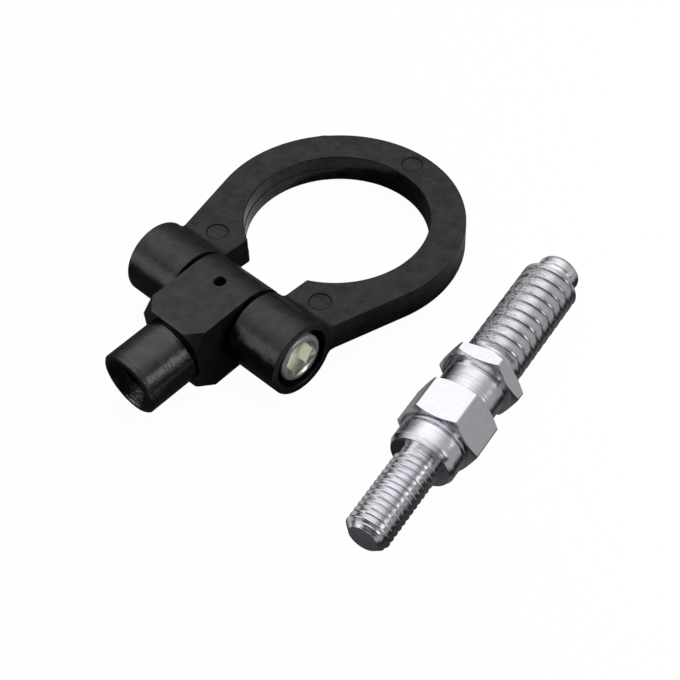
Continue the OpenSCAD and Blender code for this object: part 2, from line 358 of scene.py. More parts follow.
class Nodes:
    """Short calls for a material's node tree."""

    def __init__(self, name):
        self.material = bpy.data.materials.new(name)
        self.material.use_nodes = True
        self.tree = self.material.node_tree
        self.shader = self.tree.nodes["Principled BSDF"]

    def add(self, kind, **settings):
        node = self.tree.nodes.new(kind)
        for key, value in settings.items():
            if key in node.inputs:
                node.inputs[key].default_value = value
            else:
                setattr(node, key, value)
        return node

    def link(self, source, target):
        self.tree.links.new(source, target)

    def maths(self, operation, first, second=0.0):
        node = self.add("ShaderNodeMath", operation=operation)
        for socket, value in zip(node.inputs, (first, second)):
            if hasattr(value, "links"):
                self.link(value, socket)
            else:
                socket.default_value = value
        return node.outputs[0]

    def place(self, location=(0, 0, 0), rotation=(0, 0, 0)):
        """Object coordinates about a piece's own axes, in metres."""
        coords = self.add("ShaderNodeTexCoord")
        mapping = self.add("ShaderNodeMapping", vector_type="TEXTURE", Location=location, Rotation=rotation)
        self.link(coords.outputs["Object"], mapping.inputs["Vector"])
        return mapping.outputs["Vector"]

    def noise(self, vector, scale, detail=3.0, dimensions="3D", roughness=0.55):
        node = self.add("ShaderNodeTexNoise", noise_dimensions=dimensions, Scale=scale, Detail=detail,
                        Roughness=roughness)
        self.link(vector, node.inputs["W" if dimensions == "1D" else "Vector"])
        return node.outputs["Fac"]

    def span(self, value, low, high, to_low=0.0, to_high=1.0):
        node = self.add("ShaderNodeMapRange")
        self.link(value, node.inputs["Value"])
        for key, number in zip(("From Min", "From Max", "To Min", "To Max"), (low, high, to_low, to_high)):
            node.inputs[key].default_value = number
        return node.outputs["Result"]

    def blend(self, factor, first, second):
        node = self.add("ShaderNodeMix", data_type="RGBA")
        self.link(factor, node.inputs["Factor"])
        node.inputs["A"].default_value = (*first, 1)
        node.inputs["B"].default_value = (*second, 1)
        for socket, colour in ((node.inputs[6], first), (node.inputs[7], second)):
            socket.default_value = (*colour, 1)
        return node.outputs[2]

    def bump(self, height, strength, distance, below=None):
        node = self.add("ShaderNodeBump", Strength=strength, Distance=distance)
        self.link(height, node.inputs["Height"])
        if below is not None:
            self.link(below, node.inputs["Normal"])
        return node.outputs["Normal"]

    def rings(self, vector):
        """A value that grows along the Y axis and away from it, so its noise makes turned lines."""
        split = self.add("ShaderNodeSeparateXYZ")
        self.link(vector, split.inputs[0])
        squares = self.maths("ADD", self.maths("POWER", split.outputs[0], 2.0),
                             self.maths("POWER", split.outputs[2], 2.0))
        return self.maths("ADD", split.outputs[1], self.maths("SQRT", squares)), split


def cast_coat(name, colour, roughness, relief):
    """Satin black coat over a casting: mottled, finely grained, and smoother on the turned ears."""
    made = Nodes(name)
    place = made.place(tuple(HINGE * MM), (-lie_angle(), 0, 0))
    mottle = made.noise(place, 330, 5)
    grain = made.noise(place, 3800, 3, roughness=0.7)
    split = made.add("ShaderNodeSeparateXYZ")
    made.link(place, split.inputs[0])
    reach = made.maths("SQRT", made.maths("ADD", made.maths("POWER", split.outputs[1], 2.0),
                                          made.maths("POWER", split.outputs[2], 2.0)))
    ear = made.span(reach, 0.0105, 0.0120, 1.0, 0.0)
    lines = made.noise(split.outputs[0], 1900, 3, "1D")
    tone = made.blend(made.span(mottle, 0.3, 0.7), tuple(c * 0.7 for c in colour), tuple(c * 1.5 for c in colour))
    made.link(tone, made.shader.inputs["Base Color"])
    made.link(made.maths("SUBTRACT", made.span(mottle, 0.3, 0.7, roughness - 0.05, roughness + 0.06),
                         made.maths("MULTIPLY", ear, 0.07)), made.shader.inputs["Roughness"])
    cover = made.maths("ADD", made.span(grain, 0.3, 0.7, 0.20, 0.46), made.span(mottle, 0.3, 0.7, -0.09, 0.09))
    made.link(made.maths("ADD", cover, made.maths("MULTIPLY", ear, 0.13)),
              made.shader.inputs["Specular IOR Level"])
    soft = made.bump(mottle, 0.5 * relief, 0.0004)
    turned_lines = made.maths("MULTIPLY", made.maths("MULTIPLY", lines, ear), 0.6)
    made.link(made.bump(made.maths("ADD", grain, turned_lines), 0.5 * relief, 0.00006, soft), made.shader.inputs["Normal"])
    return made.material


def turned_coat(colour, roughness):
    """Black coat over turned and milled steel, with the cutter's fine lines showing through."""
    made = Nodes("black_turned_coat")
    place = made.place()
    along, split = made.rings(place)
    lines = made.noise(along, 1500, 3, "1D")
    mottle = made.noise(place, 300, 4)
    grain = made.noise(place, 4200, 3, roughness=0.7)
    stretch = made.add("ShaderNodeMapping", Scale=(0.5, 1.0, 0.5))
    made.link(place, stretch.inputs["Vector"])
    chatter = made.noise(stretch.outputs["Vector"], 1900, 2)
    tone = made.blend(made.span(mottle, 0.3, 0.7), tuple(c * 0.8 for c in colour), tuple(c * 1.4 for c in colour))
    made.link(tone, made.shader.inputs["Base Color"])
    # The tube is turned brighter than the bar, and the cutter's lines are deep on it
    tube = made.span(split.outputs[1], 0.0150, 0.0165, 1.0, 0.0)
    made.link(made.maths("SUBTRACT", made.span(mottle, 0.3, 0.7, roughness - 0.05, roughness + 0.05),
                         made.maths("MULTIPLY", tube, 0.16)), made.shader.inputs["Roughness"])
    # The sawn and milled front, and the inside of the socket, take less shine than the outside
    cover = made.maths("ADD", made.span(grain, 0.3, 0.7, 0.30, 0.52), made.span(mottle, 0.3, 0.7, -0.10, 0.10))
    made.link(made.maths("ADD", cover, made.maths("MULTIPLY", tube, 0.26)),
              made.shader.inputs["Specular IOR Level"])
    face = made.span(split.outputs[1], 0.0004, 0.0016, 2.5, 0.0)
    height = made.maths("MULTIPLY", made.maths("ADD", made.maths("MULTIPLY", lines, 0.8), chatter),
                        made.maths("ADD", made.maths("ADD", made.maths("MULTIPLY", tube, 0.85), 0.15), face))
    soft = made.bump(mottle, 0.35, 0.0003)
    made.link(made.bump(height, 0.9, 0.00007, soft), made.shader.inputs["Normal"])
    return made.material


def tapped_coat(colour, roughness):
    """Oily, glossier black inside the socket, where the tap has left broken rings; its darker colour is painted shade
    in the recess.
    """
    made = Nodes("tapped_coat_painted_shade")
    place = made.place()
    along, split = made.rings(place)
    lines = made.noise(along, 2600, 3, "1D")
    breaks = made.noise(place, 1400, 3)
    made.shader.inputs["Base Color"].default_value = (*colour, 1)
    made.shader.inputs["Roughness"].default_value = roughness
    made.shader.inputs["Specular IOR Level"].default_value = 1.0
    made.link(made.bump(made.maths("ADD", lines, breaks), 1.0, 0.00014), made.shader.inputs["Normal"])
    return made.material


def bright_plating(name, colour, roughness, location, rotation):
    """Bright plating over turned steel: fine lines round the axis that come and go."""
    made = Nodes(name)
    place = made.place(location, rotation)
    along, split = made.rings(place)
    fine = made.noise(along, 3300, 3, "1D")
    wide = made.noise(along, 1300, 2, "1D")
    cloud = made.noise(place, 260, 4)
    patches = made.span(made.noise(place, 190, 2), 0.38, 0.62, 0.15, 1.0)
    made.link(made.blend(made.span(cloud, 0.35, 0.7), tuple(c * 0.9 for c in colour), colour),
              made.shader.inputs["Base Color"])
    made.link(made.span(cloud, 0.3, 0.7, roughness - 0.04, roughness + 0.04), made.shader.inputs["Roughness"])
    made.shader.inputs["Metallic"].default_value = 1.0
    soft = made.bump(wide, 0.6, 0.00006)
    made.link(made.bump(made.maths("MULTIPLY", fine, patches), 1.0, 0.00008, soft), made.shader.inputs["Normal"])
    return made.material


def rolled_plating(name, colour, location, rotation):
    """Plating over the rough bands of the coarse thread, torn and pitted along one side."""
    made = Nodes(name)
    place = made.place(location, rotation)
    split = made.add("ShaderNodeSeparateXYZ")
    made.link(place, split.inputs[0])
    drawn = made.add("ShaderNodeMapping", Scale=(0.55, 1.0, 0.55))
    made.link(place, drawn.inputs["Vector"])
    torn = made.noise(drawn.outputs["Vector"], 1500, 4, roughness=0.7)
    cloud = made.noise(place, 300, 3)
    side = made.maths("MULTIPLY",
                      made.span(made.maths("ADD", split.outputs[0], made.maths("MULTIPLY", cloud, 0.004)),
                                -0.0025, 0.0035, 1.0, 0.0),
                      made.span(split.outputs[2], -0.0005, 0.0035))
    pits = made.maths("MULTIPLY", made.span(torn, 0.53, 0.59), side)
    tone = made.blend(made.span(torn, 0.35, 0.65), tuple(c * 0.80 for c in colour), colour)
    dark = made.add("ShaderNodeMix", data_type="RGBA", blend_type="MIX")
    made.link(pits, dark.inputs["Factor"])
    made.link(tone, dark.inputs[6])
    dark.inputs[7].default_value = (*(c * 0.12 for c in colour), 1)
    made.link(dark.outputs[2], made.shader.inputs["Base Color"])
    made.link(made.span(cloud, 0.3, 0.7, 0.12, 0.22), made.shader.inputs["Roughness"])
    made.shader.inputs["Metallic"].default_value = 1.0
    rough = made.maths("ADD", made.maths("MULTIPLY", side, 0.95), 0.05)
    made.link(made.bump(made.maths("MULTIPLY", torn, rough), 1.0, 0.0006), made.shader.inputs["Normal"])
    return made.material


def drawn_plating(name, colour, location, rotation):
    """Plating over the drawn flats of hexagon bar, faintly pitted and a little matt."""
    made = Nodes(name)
    place = made.place(location, rotation)
    stretch = made.add("ShaderNodeMapping", Scale=(1.0, 0.25, 1.0))
    made.link(place, stretch.inputs["Vector"])
    pits = made.noise(stretch.outputs["Vector"], 1700, 4)
    cloud = made.noise(place, 300, 4)
    tone = made.blend(made.span(pits, 0.35, 0.65), tuple(c * 0.92 for c in colour), colour)
    made.link(tone, made.shader.inputs["Base Color"])
    made.link(made.span(cloud, 0.3, 0.7, 0.13, 0.22), made.shader.inputs["Roughness"])
    made.shader.inputs["Metallic"].default_value = 1.0
    soft = made.bump(cloud, 0.2, 0.0002)
    made.link(made.bump(pits, 0.14, 0.00005, soft), made.shader.inputs["Normal"])
    return made.material


def faced_end(name, colour, location, rotation):
    """Dull grey faced end, with the tool's rings showing."""
    made = Nodes(name)
    along, split = made.rings(made.place(location, rotation))
    rings = made.noise(along, 1500, 3, "1D")
    tone = made.blend(made.span(rings, 0.35, 0.65), tuple(c * 0.8 for c in colour), colour)
    made.link(tone, made.shader.inputs["Base Color"])
    made.shader.inputs["Roughness"].default_value = 0.42
    made.shader.inputs["Metallic"].default_value = 0.15
    made.link(made.bump(rings, 0.5, 0.00004), made.shader.inputs["Normal"])
    return made.material


def milky_plating(name, colour, metallic, roughness):
    """Pale, slightly milky plating on the bolt, finely grained; in the key's socket its pale colour is painted light.
    """
    made = Nodes(name)
    place = made.place(tuple(HINGE * MM), (-lie_angle(), 0, 0))
    cloud = made.noise(place, 1500, 3)
    tone = made.blend(made.span(cloud, 0.35, 0.65), tuple(c * 0.88 for c in colour), colour)
    made.link(tone, made.shader.inputs["Base Color"])
    made.link(made.span(cloud, 0.3, 0.7, roughness - 0.04, roughness + 0.04), made.shader.inputs["Roughness"])
    made.shader.inputs["Metallic"].default_value = metallic
    made.link(made.bump(cloud, 0.3, 0.00004), made.shader.inputs["Normal"])
    return made.material


# ---- Pieces ----


def tow_ring_piece(sizes):
    """The casting: the CAD shape with rounded cast edges and chamfered holes."""
    bm = cad_copy("tow_ring", hinge_place())
    ring_centre = Vector((0, 41.5, 0))
    marks = (Vector((19.75, 15, 0)), Vector((-19.75, 15, 0)), Vector((0, 72, 0)))
    ear_out = 28.1

    def in_mark(at):
        return at.z > 3.9 and any((Vector((at.x, at.y, 0)) - m).length < 3.3 for m in marks)

    def on_axis(at):
        return math.hypot(at.y, at.z) < 8.8

    def on_step(at):
        return abs(at.z) < 0.3 and (Vector((at.x, at.y, 0)) - ring_centre).length < 26.4

    plate_top = 4.25
    bm = combined(bm, *[("DIFFERENCE", moved(upright(ring_cutter(2.86, 3.12, plate_top - sizes.mark_depth,
                                                                 plate_top + 1)), mark)) for mark in marks])
    softened(bm, sizes.bore_edge, lambda at, e: on_axis(at) and abs(at.x) > ear_out - 0.1, 2)
    softened(bm, sizes.end_edge, lambda at, e: not on_axis(at) and abs(at.x) > ear_out - 0.1, 2)
    softened(bm, sizes.edge, lambda at, e: not in_mark(at) and not on_axis(at) and not on_step(at)
             and abs(at.x) < ear_out - 0.5)
    bmesh.ops.remove_doubles(bm, verts=bm.verts, dist=0.002)
    bmesh.ops.dissolve_degenerate(bm, dist=0.002, edges=bm.edges)
    bm.normal_update()
    for face in bm.faces:
        middle = face.calc_center_median()
        if abs(face.normal.z) < 0.25 and math.hypot(middle.y, middle.z) > 12:
            face.material_index = 1
    coats = [cast_coat("black_cast_coat", tuple(sizes.colour), sizes.roughness, 1.0),
             cast_coat("black_cast_sides", tuple(sizes.colour), sizes.roughness * 0.6, 0.3)]
    return finished(bm, "cast_tow_ring", hinge_place(), coats, "tow_ring", "ring", CAST_CRISP_ANGLE)


def swivel_block_piece(sizes):
    """The bar, rounded behind and cone-turned in front, with its threaded tube."""
    half = sizes.height / 2
    reach = sizes.front + 1
    bm = bmesh.new()
    top = bm.verts.new((-sizes.width / 2, 0, half))
    bmesh.ops.spin(bm, geom=[top], cent=(0, 0, 0), axis=(-1, 0, 0), dvec=(0, 0, 0), angle=math.pi,
                   steps=ROUND_STEPS // 2, use_merge=False)
    bm.verts.ensure_lookup_table()
    ends = [v for v in bm.verts if len(v.link_edges) == 1]
    upper, lower = sorted(ends, key=lambda v: -v.co.z)
    front = [bm.verts.new((v.co.x, -reach, v.co.z)) for v in (upper, lower)]
    for pair in ((upper, front[0]), (front[0], front[1]), (front[1], lower)):
        bm.edges.new(pair)
    side = bmesh.ops.contextual_create(bm, geom=bm.edges[:])["faces"]
    grown = bmesh.ops.extrude_face_region(bm, geom=side, use_keep_orig=True)["geom"]
    bmesh.ops.translate(bm, verts=[g for g in grown if isinstance(g, bmesh.types.BMVert)], vec=(sizes.width, 0, 0))
    tidy(bm)
    softened(bm, sizes.edge, lambda at, e: abs(abs(at.x) - sizes.width / 2) < 1e-3 and abs(at.y + reach) > 0.5, 2)
    moved(bm, HINGE)

    front_at = HINGE.y - sizes.front
    cone_r = math.hypot(sizes.width / 2, half) + 0.2
    cone_l = (cone_r - sizes.turn_diameter / 2) / math.tan(math.radians(30))
    envelope = turned([(0, front_at), (sizes.turn_diameter / 2, front_at), (cone_r, front_at + cone_l),
                       (cone_r, front_at + 60), (0, front_at + 60)])
    tube_r = sizes.tube_diameter / 2
    neck_r = tube_r - 0.4
    neck_at = front_at - 0.35
    tube = turned([(0, 0), (tube_r - 0.45, 0), (tube_r, 0.45), (tube_r, neck_at - 0.2),
                   (tube_r - 0.2, neck_at), (neck_r, neck_at), (neck_r, front_at + 2), (0, front_at + 2)], 0.06)
    tap = threaded(vee_section(6.05, 5.05, 0.125, 0.20), 1.75, -2, 22.5, 0.05)
    mouth = turned([(0, -3), (8.0, -3), (8.0, -0.3), (7.15, 0.5), (7.3, 0.75), (6.75, 1.15), (6.9, 1.4), (6.35, 1.8),
                    (6.5, 2.05), (5.95, 2.45), (5.05, 3.0), (5.05, 24), (0, 27)])
    bore = along_x(turned([(0, -14), (4.6, -14), (4.6, -10.0), (4.3, -9.98), (4.08, -9.76), (4.08, 9.76),
                           (4.3, 9.98), (4.6, 10.0), (4.6, 14), (0, 14)]))
    hole = turned([(0, 0), (1.6, 0), (1.6, 10.3), (1.8, 10.5), (1.8, 12), (0, 12)], 0, 48)
    upright(hole)
    whole = combined(
        bm,
        ("INTERSECT", envelope),
        ("UNION", tube),
        ("DIFFERENCE", mouth),
        ("DIFFERENCE", tap),
        ("DIFFERENCE", moved(bore, HINGE)),
        ("DIFFERENCE", moved(hole, HINGE + Vector((0, -0.8, 0)))),
    )
    for face in whole.faces:
        middle = face.calc_center_median()
        if middle.y < 23 and math.hypot(middle.x, middle.z) < 7.69:
            face.material_index = 1
    colour = tuple(sizes.colour)
    # The socket's coat is given a darker colour than the outside: painted shade in the recess.
    coats = [turned_coat(colour, sizes.roughness), tapped_coat(tuple(c * 0.6 for c in colour), 0.16)]
    return finished(whole, "turned_swivel_block", Matrix.Identity(4), coats, "swivel_block", "block")


def pivot_bolt_piece(sizes):
    """Socket head cap screw, with its rolled head edge and a chamfered tip."""
    head_x = 28.1 - 0.4
    head_l = 8
    shank = sizes.shank / 2
    head = sizes.head / 2
    tip = -28.1 + 1.5
    screw = turned([(0, tip), (shank - 0.8, tip), (shank, tip + 0.8), (shank, head_x - head_l),
                    (head, head_x - head_l), (head, head_x - 0.4), (head - 0.4, head_x), (0, head_x)], 0.12)
    key = bar(6, sizes.key, head_x - sizes.key_depth, head_x + 1)
    key_r = sizes.key / math.sqrt(3)
    sink = turned([(0, head_x - sizes.key_depth - 1.3), (key_r - 0.35, head_x - sizes.key_depth + 0.1),
                   (0, head_x - sizes.key_depth + 0.2)])
    lead_r = key_r + 0.8
    lead = turned([(0, head_x - 0.7), (sizes.key / 2 + 0.3, head_x - 0.7), (lead_r - 0.25, head_x - 0.25),
                   (lead_r, head_x), (lead_r, head_x + 1), (0, head_x + 1)])
    whole = combined(screw, ("DIFFERENCE", key), ("DIFFERENCE", sink), ("DIFFERENCE", lead))
    # Faces in the key's socket take the pale colours: painted light in the recess.
    for face in whole.faces:
        middle = face.calc_center_median()
        inside = math.hypot(middle.x, middle.z) < lead_r
        if inside and head_x - sizes.key_depth - 1.5 < middle.y < head_x - 0.01:
            face.material_index = 2 if middle.y < head_x - sizes.key_depth + 0.3 else 1
    along_x(whole)
    rim, recess = tuple(sizes.colour), tuple(sizes.recess)
    platings = [milky_plating("milky_bolt_plating", rim, 0.5, 0.30),
                milky_plating("recess_walls_painted_light", recess, 0.9, 0.13),
                milky_plating("recess_floor_painted_light", recess, 0.0, 0.4)]
    return finished(whole, "socket_cap_screw", hinge_place(), platings, "pivot_bolt", "ring")


def adapter_stud_piece(sizes):
    """Threads, collar, hexagons, neck and pilot, all on one bar."""
    flats = sizes.across_flats / 2
    corner_r = flats / math.cos(math.pi / 6)
    collar_at, wrench_at, neck_at, flange_at, step_at = 25.4, 32.8, 44.2, 53.0, 57.0
    runout_at, coarse_at, coarse_end, pilot_at, end = 58.9, 60.6, 91.6, 93.5, 97.0
    fine_r, end_r, coarse_r = 5.92, 4.1, 7.85

    def chamfered(start, stop):
        """A length of the hexagon bar with its corners turned off at both ends."""
        rise = (corner_r + 0.2 - flats + 0.1) * math.tan(math.radians(30))
        cones = turned([(0, start), (flats - 0.1, start), (corner_r + 0.2, start + rise),
                        (corner_r + 0.2, stop - rise), (flats - 0.1, stop), (0, stop)])
        return combined(bar(6, sizes.across_flats, start - 1, stop + 1, sizes.corner), ("INTERSECT", cones))

    core = turned([
        (0, 2), (4.4, 2), (4.4, 23.3), (5.35, 23.3), (5.35, collar_at), (8.3, collar_at), (9.0, collar_at + 1.4),
        (9.0, wrench_at - 1.7), (8.0, wrench_at - 1.5), (8.0, wrench_at - 1.1), (9.05, wrench_at - 0.9),
        (9.05, wrench_at - 0.55), (8.1, wrench_at - 0.45), (8.1, wrench_at + 1), (8.35, wrench_at + 1),
        (8.35, flange_at - 1.5), (8.1, flange_at - 1.35), (8.35, flange_at - 1.15), (8.35, flange_at - 0.85),
        (7.9, flange_at - 0.7), (7.9, flange_at + 0.5), (8.05, step_at - 1), (8.05, step_at + 0.7),
        (7.8, step_at + 0.85), (8.05, step_at + 1.05), (8.05, runout_at),
        (7.0, runout_at), (7.0, coarse_at + 0.2), (6.2, coarse_at + 0.2), (6.2, coarse_end - 0.8),
        (5.3, coarse_end + 0.2), (5.3, pilot_at), (5.75, pilot_at + 0.35), (5.75, end - 1.0),
        (5.5, end - 0.38), (4.9, end), (0, end)], 0.08)
    fine_end = turned([(0, 0), (end_r, 0), (6.2, 6.2 - end_r), (6.2, 30), (0, 30)])
    fine = combined(threaded(vee_section(fine_r, 4.92, 0.13, 0.10), 1.75, -1, 23.6, 0.06),
                    ("INTERSECT", fine_end))
    coarse_cut = turned([(0, coarse_at - 0.6), (6.9, coarse_at - 0.6), (coarse_r + 0.1, coarse_at + 0.5),
                         (coarse_r + 0.1, coarse_end - 0.8), (5.2, coarse_end + 0.5), (0, coarse_end + 0.5)])
    # Wide bands, each with a sharp edge in front and a short fall behind it
    band = [(coarse_r - 0.03, 0), (coarse_r, 0.02), (coarse_r, 0.08), (coarse_r - 0.04, 0.12),
            (coarse_r - 0.04, 0.48), (coarse_r - 0.11, 0.66), (coarse_r - 0.26, 0.83), (coarse_r - 0.50, 0.94),
            (coarse_r - 0.52, 0.96), (coarse_r - 0.06, 0.985), (coarse_r - 0.03, 1)]
    coarse = combined(threaded(band, 3.1, coarse_at - 1, coarse_end + 1), ("INTERSECT", coarse_cut))
    whole = combined(core, ("UNION", fine), ("UNION", chamfered(wrench_at, neck_at)),
                     ("UNION", chamfered(flange_at, step_at)), ("UNION", coarse))
    location, rotation = tuple(STUD_END * MM), (0, 0, STUD_HEADING)
    colour = tuple(sizes.colour)
    platings = [
        bright_plating("bright_turned_plating", colour, sizes.roughness, location, rotation),
        drawn_plating("bright_hexagon_flats", colour, location, rotation),
        rolled_plating("rolled_band_plating", colour, location, rotation),
        faced_end("dull_faced_end", tuple(sizes.end_colour), location, rotation),
    ]
    for face in whole.faces:
        middle = face.calc_center_median()
        across = Vector((face.normal.x, face.normal.z))
        out = math.hypot(middle.x, middle.z)
        if across.length > 0.999 and out > 9.2:
            face.material_index = 1
        elif coarse_at < middle.y < coarse_end and out > coarse_r - 0.6:
            face.material_index = 2
        elif middle.y < 0.01:
            face.material_index = 3
    return finished(whole, "plated_adapter_stud", stud_place(), platings, "adapter_stud", "block")


# ---- Stage ----


def floor_material():
    """White to the eye; in reflections it darkens close under the object and is white far off."""
    made = Nodes("white_floor")
    tree = made.tree
    tree.nodes.remove(made.shader)
    output = tree.nodes["Material Output"]
    path = made.add("ShaderNodeLightPath")
    bounce = made.add("ShaderNodeBsdfDiffuse", Color=(0.12, 0.12, 0.12, 1))
    shaded = made.add("ShaderNodeBsdfDiffuse", Color=(0.9, 0.9, 0.9, 1))
    seen = made.add("ShaderNodeEmission", Color=(1, 1, 1, 1), Strength=1.0)
    mirrored = made.add("ShaderNodeEmission", Color=(1, 1, 1, 1), Strength=1.0)

    def beyond(location, heading, half_width, half_length):
        """How far outside an oval on the floor a point lies, in metres."""
        split = made.add("ShaderNodeSeparateXYZ")
        made.link(made.place(location, (0, 0, heading)), split.inputs[0])
        squares = made.maths("ADD", made.maths("POWER", made.maths("DIVIDE", split.outputs[0], half_width), 2.0),
                             made.maths("POWER", made.maths("DIVIDE", split.outputs[1], half_length), 2.0))
        return made.maths("MULTIPLY", made.maths("SUBTRACT", made.maths("SQRT", squares), 1.0), half_width)

    # The floor's strength in reflections is painted: a painted shadow close round the hook and the stud, paler further
    # off.
    shade = (0, 0.0665, 0)
    outside = made.maths("MINIMUM", beyond(shade, 0, 0.036, 0.036),
                         made.maths("MINIMUM", beyond((0, 0.006, 0), 0, 0.015, 0.030),
                                    beyond((0, 0.028, 0), 0, 0.032, 0.018)))
    # Distance outside the stud's own outline on the floor
    split = made.add("ShaderNodeSeparateXYZ")
    made.link(made.place((0.068, 0.053, 0), (0, 0, STUD_HEADING)), split.inputs[0])
    stud = made.maths("MAXIMUM", made.maths("SUBTRACT", made.maths("ABSOLUTE", split.outputs[0]), 0.009),
                      made.maths("SUBTRACT", made.maths("ABSOLUTE", split.outputs[1]), 0.0475))
    by_hook = made.span(outside, 0.004, 0.026, 0.03, 0.7)
    on_left = made.maths("MULTIPLY", made.maths("ADD", made.span(stud, 0.005, 0.019, 0.02, 0.55),
                                                made.span(stud, 0.019, 0.30, 0.0, 0.40)),
                         made.span(split.outputs[0], -0.075, -0.035, 0.10, 1.0))
    under = made.maths("MULTIPLY", made.span(stud, 0.002, 0.008, 0.09, 0.0),
                       made.span(split.outputs[1], -0.036, -0.022, 0.3, 1.0))
    on_right = made.maths("ADD", under, made.span(stud, 0.013, 0.027, 0.02, 0.39))
    by_stud = made.maths("ADD", made.maths("MULTIPLY", on_left, made.span(split.outputs[0], -0.004, 0.008, 1.0, 0.0)),
                         made.maths("MULTIPLY", on_right, made.span(split.outputs[0], -0.004, 0.008, 0.0, 1.0)))
    # Inside the ring's hole the reflected floor is painted dark in the middle and lighter towards the wall: painted
    # shade and light.
    in_ring = made.maths("MULTIPLY", made.span(beyond(shade, 0, 0.016, 0.016), 0.0, 0.005, 0.04, 0.5),
                         made.span(beyond(shade, 0, 0.0262, 0.0262), 0.0, 0.0005, 1.0, 0.0))
    made.link(made.maths("MAXIMUM", in_ring, made.maths("MINIMUM", by_hook, by_stud)), mirrored.inputs["Strength"])
    mirrors = made.maths("MAXIMUM", path.outputs["Is Glossy Ray"], path.outputs["Is Transmission Ray"])
    mirror = made.add("ShaderNodeMixShader")
    made.link(mirrors, mirror.inputs[0])
    made.link(bounce.outputs[0], mirror.inputs[1])
    made.link(mirrored.outputs[0], mirror.inputs[2])
    lit = made.add("ShaderNodeMixShader", Fac=0.97)
    made.link(shaded.outputs[0], lit.inputs[1])
    made.link(seen.outputs[0], lit.inputs[2])
    eye = made.add("ShaderNodeMixShader")
    made.link(path.outputs["Is Camera Ray"], eye.inputs[0])
    made.link(mirror.outputs[0], eye.inputs[1])
    made.link(lit.outputs[0], eye.inputs[2])
    made.link(eye.outputs[0], output.inputs["Surface"])
    return made.material


def make_floor():
    """A wide floor under the object."""
    bm = bmesh.new()
    bmesh.ops.create_grid(bm, x_segments=1, y_segments=1, size=1.5)
    bmesh.ops.translate(bm, verts=bm.verts, vec=(0, 0, (GROUND - 0.05) * MM))
    mesh = bpy.data.meshes.new("floor")
    bm.to_mesh(mesh)
    bm.free()
    mesh.materials.append(floor_material())
    floor = bpy.data.objects.new("floor", mesh)
    bpy.context.scene.collection.objects.link(floor)


def make_world():
    """White to the eye; in reflections a broad soft light overhead, a paler one at the right and a low strip in front."""
    world = bpy.data.worlds.new("studio")
    bpy.context.scene.world = world
    world.use_nodes = True
    tree = world.node_tree
    background = tree.nodes["Background"]
    coords = tree.nodes.new("ShaderNodeTexCoord")
    path = tree.nodes.new("ShaderNodeLightPath")

    def maths(operation, first, second):
        node = tree.nodes.new("ShaderNodeMath")
        node.operation = operation
        for socket, value in zip(node.inputs, (first, second)):
            if hasattr(value, "links"):
                tree.links.new(value, socket)
            else:
                socket.default_value = value
        return node.outputs[0]

    def facing(direction):
        """Cosine of the angle between the ray and a direction."""
        node = tree.nodes.new("ShaderNodeVectorMath")
        node.operation = "DOT_PRODUCT"
        tree.links.new(coords.outputs["Generated"], node.inputs[0])
        node.inputs[1].default_value = Vector(direction).normalized()
        return node.outputs["Value"]

    def ramp(value, stops):
        """A smooth curve through (cosine, strength) stops."""
        node = tree.nodes.new("ShaderNodeValToRGB")
        tree.links.new(maths("MULTIPLY_ADD", value, 0.5), node.inputs[0])
        node.inputs[0].links[0].from_node.inputs[2].default_value = 0.5
        top = max(strength for cosine, strength in stops)
        elements = node.color_ramp.elements
        while len(elements) < len(stops):
            elements.new(0.5)
        for element, (cosine, strength) in zip(elements, stops):
            element.position = cosine / 2 + 0.5
            element.color = (strength / top, strength / top, strength / top, 1)
        return maths("MULTIPLY", node.outputs[0], top)

    overhead = ramp(facing((-0.2, 0.08, 0.97)),
                    ((-0.2, 0.03), (0.05, 0.06), (0.36, 0.20), (0.50, 0.34), (0.62, 0.52), (0.74, 0.88), (0.85, 1.22),
                     (0.92, 1.36), (1.0, 1.42)))
    dim_front = ramp(facing((0, -1, 0)), ((0.50, 1.0), (0.80, 0.15)))
    side = ramp(facing((0.75, 0.65, 0.05)), ((0.70, 0.0), (0.97, 0.36)))
    patch = ramp(facing((0.90, 0.25, 0.36)), ((0.968, 0.0), (0.990, 2.2)))
    strip = ramp(facing((-0.54, -0.78, 0.34)), ((0.945, 0.0), (0.975, 1.7)))
    mirrored = maths("ADD", maths("ADD", maths("MULTIPLY", overhead, dim_front), side), maths("ADD", patch, strip))
    mirrors = maths("MAXIMUM", path.outputs["Is Glossy Ray"], path.outputs["Is Transmission Ray"])
    ambient = 0.12
    unseen = maths("ADD", maths("MULTIPLY", mirrors, maths("SUBTRACT", mirrored, ambient)), ambient)
    strength = maths("MAXIMUM", unseen, path.outputs["Is Camera Ray"])
    background.inputs["Color"].default_value = (1, 1, 1, 1)
    tree.links.new(strength, background.inputs["Strength"])


def make_light(name, power, at, towards, size, colour=(1, 1, 1)):
    """A soft rectangular light that faces a point."""
    data = bpy.data.lights.new(name, "AREA")
    data.shape = "RECTANGLE"
    data.size, data.size_y = size
    data.energy = power
    data.color = colour
    lamp = bpy.data.objects.new(name, data)
    at, towards = Vector(at), Vector(towards)
    lamp.visible_glossy = False
    lamp.matrix_world = Matrix.Translation(at) @ (at - towards).to_track_quat("Z", "Y").to_matrix().to_4x4()
    bpy.context.scene.collection.objects.link(lamp)


